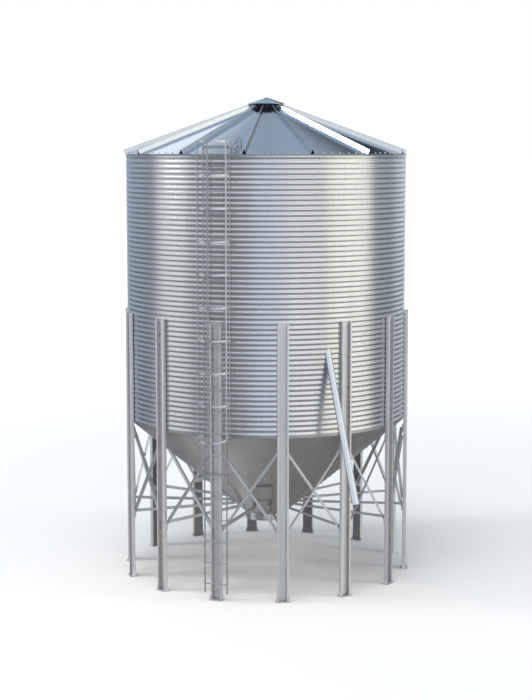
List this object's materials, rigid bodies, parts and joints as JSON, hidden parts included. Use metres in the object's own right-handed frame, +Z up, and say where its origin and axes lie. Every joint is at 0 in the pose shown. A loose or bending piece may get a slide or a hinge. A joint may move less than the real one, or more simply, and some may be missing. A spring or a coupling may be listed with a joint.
{
  "type": "grain silo",
  "caption": "Round galvanised grain silo with ribbed roof, hopper bottom and hatch, on braced channel legs, with a caged ladder and an inclined outlet tube.",
  "frame": {"origin": "on the ground, under the middle of the silo's outer box; the bin's own axis stands 207 mm further back", "axes": "+Z up along the bin's axis; -Y towards the ladder"},
  "size_m": [5.636, 6.1354, 9.35],
  "materials": {
    "galvanised_sheet": "bright galvanised, corrugated",
    "roof_sheet": "galvanised, smooth",
    "dark_steel": "dark, matt",
    "hopper_plate": "dull grey galvanised",
    "leg_steel": "dull galvanised",
    "bracing_steel": "galvanised",
    "ladder_steel": "galvanised",
    "tube_steel": "bright rolled"
  },
  "bodies": {
    "root": {"wall_sheet_1": "galvanised_sheet", "wall_sheet_2": "galvanised_sheet", "wall_sheet_3": "galvanised_sheet", "wall_sheet_4": "galvanised_sheet", "wall_sheet_5": "galvanised_sheet", "wall_sheet_6": "galvanised_sheet", "wall_sheet_7": "galvanised_sheet", "hopper_ring": "galvanised_sheet", "eave_ring": "galvanised_sheet", "roof_sheet_1": "roof_sheet", "roof_sheet_2": "roof_sheet", "roof_sheet_3": "roof_sheet", "roof_sheet_4": "roof_sheet", "roof_sheet_5": "roof_sheet", "roof_sheet_6": "roof_sheet", "roof_sheet_7": "roof_sheet", "roof_collar": "dark_steel", "roof_cap": "roof_sheet", "hopper_cone": "hopper_plate", "outlet_collar": "galvanised_sheet", "inspection_hatch": "hopper_plate", "leg_01": "leg_steel", "leg_02": "leg_steel", "leg_03": "leg_steel", "leg_04": "leg_steel", "leg_05": "leg_steel", "leg_06": "leg_steel", "leg_07": "leg_steel", "leg_08": "leg_steel", "leg_09": "leg_steel", "leg_10": "leg_steel", "leg_11": "leg_steel", "leg_12": "leg_steel", "leg_13": "leg_steel", "leg_14": "leg_steel", "bracing_01": "bracing_steel", "bracing_02": "bracing_steel", "bracing_03": "bracing_steel", "bracing_04": "bracing_steel", "bracing_05": "bracing_steel", "bracing_06": "bracing_steel", "bracing_07": "bracing_steel", "bracing_08": "bracing_steel", "bracing_09": "bracing_steel", "bracing_10": "bracing_steel", "bracing_11": "bracing_steel", "bracing_12": "bracing_steel", "bracing_13": "bracing_steel", "bracing_14": "bracing_steel", "ladder": "ladder_steel", "ladder_cage": "ladder_steel", "roof_grab_rail": "ladder_steel", "inclined_tube": "tube_steel"}
  },
  "joints": []
}
